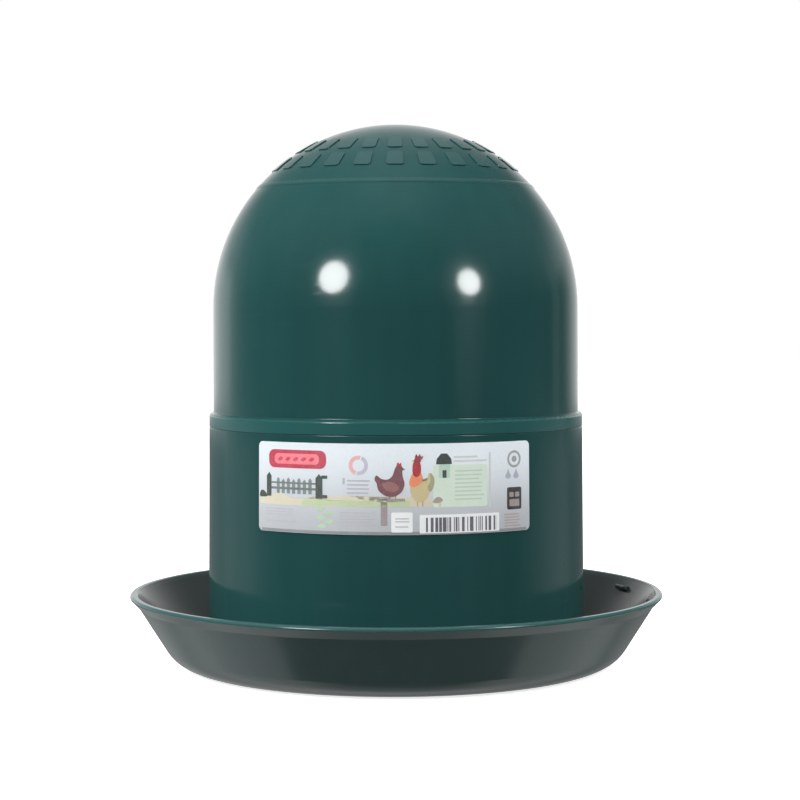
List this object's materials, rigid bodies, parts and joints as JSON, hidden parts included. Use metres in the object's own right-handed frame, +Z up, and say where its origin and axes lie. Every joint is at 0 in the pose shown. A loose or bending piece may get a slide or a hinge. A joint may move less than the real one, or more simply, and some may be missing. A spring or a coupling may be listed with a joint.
{
  "type": "gravity poultry feeder",
  "caption": "Bell-shaped plastic gravity feeder for poultry: domed cover on a hopper body that twists into a round dish-shaped tray.",
  "frame": {"origin": "centre of the foot ring, on the ground", "axes": "+Z up along the feeder's axis; the label faces -Y, and +X is to the right when looking at the label"},
  "size_m": [0.1996, 0.1996, 0.2017],
  "materials": {
    "green_plastic": "gloss",
    "tray_plastic": "semi-gloss",
    "label_film": "satin"
  },
  "bodies": {
    "tray": {"feed_tray": "tray_plastic"},
    "hopper": {"hopper_body": "green_plastic", "side_label": "label_film"},
    "cover": {"dome_cover": "green_plastic"},
    "cone": {"feed_cone": "tray_plastic"}
  },
  "joints": [
    {"name": "hopper_twist", "type": "hinge", "parent": "tray", "child": "hopper", "pos_m": [0, 0, 0.0115], "axis": [0, 0, 1], "range_deg": [0, 24]},
    {"name": "cover_lift", "type": "slide", "parent": "hopper", "child": "cover", "axis": [0, 0, 1], "range_m": [0, 0.1]},
    {"name": "cone_lift", "type": "slide", "parent": "tray", "child": "cone", "axis": [0, 0, 1], "range_m": [0, 0.05]}
  ]
}
